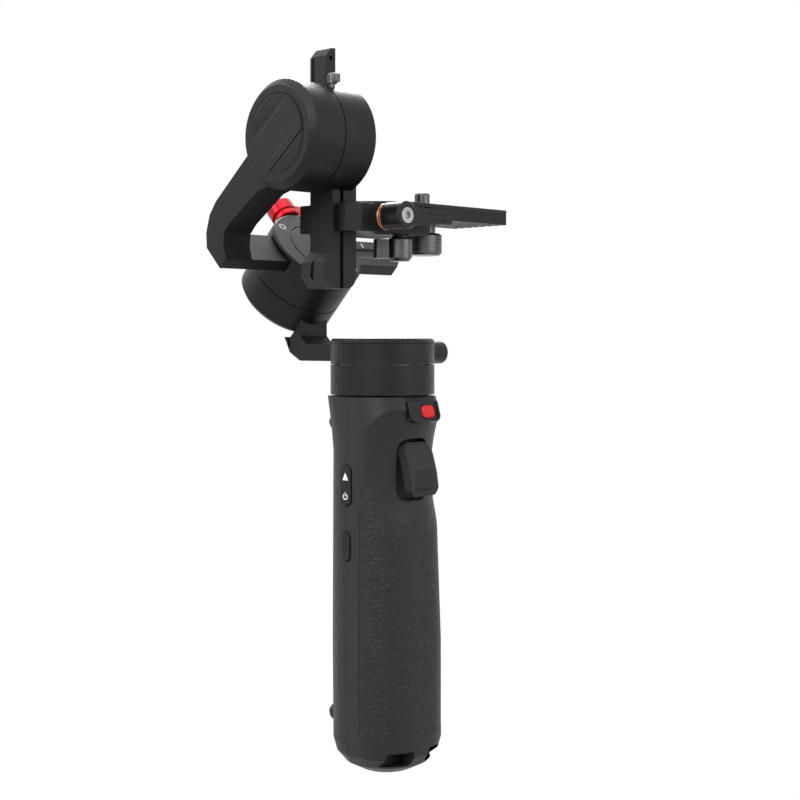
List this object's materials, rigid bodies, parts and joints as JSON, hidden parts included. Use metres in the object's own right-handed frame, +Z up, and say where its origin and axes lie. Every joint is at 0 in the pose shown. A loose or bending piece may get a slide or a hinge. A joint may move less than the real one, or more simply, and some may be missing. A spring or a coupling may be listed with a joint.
{
  "type": "camera gimbal",
  "caption": "Compact handheld camera stabiliser: leather-clad handle, inclined roll motor and yaw and tilt motors on sliding balance arms, quick-release plate with screw.",
  "frame": {"origin": "centre of the mouth of the tripod thread, in the base of the handle", "axes": "+Z up along the handle and the yaw axis; -Y forward, the way the lens and the trigger face; +X to the user's left, along the tilt axis"},
  "size_m": [0.1155, 0.1034, 0.2847],
  "materials": {
    "anodised_charcoal": "fine-grain charcoal anodising",
    "shell_plastic": "moulded matte dark grey",
    "leather_black": "pebbled black leather",
    "gloss_black": "smooth black",
    "red_anodised": "red anodising",
    "red_plastic": "red button",
    "steel": "turned steel",
    "copper": "copper-coloured",
    "rubber_black": "soft black rubber",
    "motor_copper": "wound copper on a steel core",
    "board_green": "circuit board",
    "battery_wrap": "shrink wrap",
    "brass_insert": "brass",
    "window_glass": "dark display glass"
  },
  "bodies": {
    "handle": {"handle_front": "shell_plastic", "handle_rear": "shell_plastic", "leather_grip": "leather_black", "control_panel": "gloss_black", "display_window": "window_glass", "battery": "battery_wrap", "main_board": "board_green", "tripod_insert": "brass_insert", "shell_screws": "steel", "port_cover": "rubber_black", "base_collar": "anodised_charcoal", "trigger_pin": "steel", "yaw_base": "anodised_charcoal", "yaw_stator": "motor_copper", "yaw_bearing": "steel"},
    "trigger_lever": {"trigger": "gloss_black"},
    "record": {"record_button": "red_plastic"},
    "power": {"power_button": "gloss_black"},
    "menu": {"menu_button": "gloss_black"},
    "stick_rocker": {"stick_ring": "gloss_black"},
    "stick": {"joystick": "gloss_black"},
    "mode": {"mode_button": "gloss_black"},
    "yaw_head": {"yaw_rotor": "steel", "yaw_case": "anodised_charcoal", "yaw_cap": "anodised_charcoal"},
    "yaw_clamp": {"yaw_knob": "gloss_black"},
    "yaw_link": {"yaw_arm": "anodised_charcoal", "roll_stator_case": "anodised_charcoal", "roll_rear_cap": "anodised_charcoal", "roll_stator": "motor_copper", "roll_bearing": "steel"},
    "roll_turn": {"roll_rotor": "steel", "roll_case": "anodised_charcoal", "roll_head": "anodised_charcoal", "roll_cover": "anodised_charcoal", "cover_screws": "steel"},
    "roll_clamp": {"roll_knob": "red_anodised"},
    "roll_link": {"roll_arm": "anodised_charcoal", "bar_stop": "steel", "tilt_front_case": "anodised_charcoal", "tilt_badge": "anodised_charcoal", "tilt_stator": "motor_copper", "tilt_bearing": "steel"},
    "tilt_turn": {"tilt_rotor": "steel", "tilt_case": "anodised_charcoal"},
    "latch": {"arm_latch": "steel"},
    "tilt_link": {"tilt_arm": "anodised_charcoal", "clamp_block": "anodised_charcoal", "copper_washer": "copper", "steel_washer": "steel", "lever_screw": "steel"},
    "release": {"release_lever": "gloss_black"},
    "lock": {"lower_lever": "gloss_black"},
    "plate": {"camera_plate": "anodised_charcoal", "plate_pad": "rubber_black"},
    "screw": {"camera_screw": "steel"}
  },
  "joints": [
    {"name": "yaw", "type": "hinge", "parent": "handle", "child": "yaw_head", "pos_m": [0, 0, 0.16], "axis": [0, 0, 1], "continuous": true},
    {"name": "yaw_knob_turn", "type": "hinge", "parent": "yaw_head", "child": "yaw_clamp", "pos_m": [0.021, 0, 0.1658], "axis": [1, 0, 0], "continuous": true},
    {"name": "yaw_balance", "type": "slide", "parent": "yaw_head", "child": "yaw_link", "axis": [0, 1, 0], "range_m": [-0.009, 0.01]},
    {"name": "roll", "type": "hinge", "parent": "yaw_link", "child": "roll_turn", "pos_m": [0, 0, 0.249], "axis": [0, -0.7071, 0.7071], "range_deg": [-160, 45]},
    {"name": "roll_knob_turn", "type": "hinge", "parent": "roll_turn", "child": "roll_clamp", "pos_m": [0, 0.0576, 0.22167], "axis": [0, 0.7071, 0.7071], "continuous": true},
    {"name": "roll_balance", "type": "slide", "parent": "roll_turn", "child": "roll_link", "axis": [1, 0, 0], "range_m": [-0.015, 0.01]},
    {"name": "tilt", "type": "hinge", "parent": "roll_link", "child": "tilt_turn", "pos_m": [0, 0, 0.249], "axis": [1, 0, 0], "range_deg": [-200, 20]},
    {"name": "latch_turn", "type": "hinge", "parent": "tilt_turn", "child": "latch", "pos_m": [-0.0356, -0.0089, 0.27], "axis": [0, 0, 1], "range_deg": [-25, 40]},
    {"name": "tilt_balance", "type": "slide", "parent": "tilt_turn", "child": "tilt_link", "axis": [0, 0, 1], "range_m": [-0.01, 0.003]},
    {"name": "release_turn", "type": "hinge", "parent": "tilt_link", "child": "release", "pos_m": [-0.014, -0.02, 0.219], "axis": [0, -1, 0], "range_deg": [-90, 90]},
    {"name": "lock_turn", "type": "hinge", "parent": "tilt_link", "child": "lock", "pos_m": [0, -0.01, 0.207], "axis": [0, 0, 1], "range_deg": [-60, 90]},
    {"name": "plate_slide", "type": "slide", "parent": "tilt_link", "child": "plate", "axis": [1, 0, 0], "range_m": [0, 0.012]},
    {"name": "camera_screw_turn", "type": "hinge", "parent": "plate", "child": "screw", "pos_m": [0.023, 0, 0.21], "axis": [0, 0, 1], "continuous": true},
    {"name": "trigger_pull", "type": "hinge", "parent": "handle", "child": "trigger_lever", "pos_m": [0, -0.0146, 0.1288], "axis": [1, 0, 0], "range_deg": [0, 6], "stiffness_Nm_per_rad": 0.1},
    {"name": "record_press", "type": "slide", "parent": "handle", "child": "record", "axis": [0, 0.9563, -0.2924], "range_m": [0, 0.0006], "stiffness_N_per_m": 400},
    {"name": "power_press", "type": "slide", "parent": "handle", "child": "power", "axis": [1, 0, 0], "range_m": [0, 0.0006], "stiffness_N_per_m": 400},
    {"name": "menu_press", "type": "slide", "parent": "handle", "child": "menu", "axis": [1, 0, 0], "range_m": [0, 0.0006], "stiffness_N_per_m": 400},
    {"name": "mode_press", "type": "slide", "parent": "handle", "child": "mode", "axis": [0, -1, 0], "range_m": [0, 0.0005], "stiffness_N_per_m": 400},
    {"name": "stick_side", "type": "hinge", "parent": "handle", "child": "stick_rocker", "pos_m": [0, 0.0134, 0.102], "axis": [0, 0, 1], "range_deg": [-8, 8], "stiffness_Nm_per_rad": 0.02},
    {"name": "stick_up", "type": "hinge", "parent": "stick_rocker", "child": "stick", "pos_m": [0, 0.0134, 0.102], "axis": [1, 0, 0], "range_deg": [-8, 8], "stiffness_Nm_per_rad": 0.02}
  ]
}
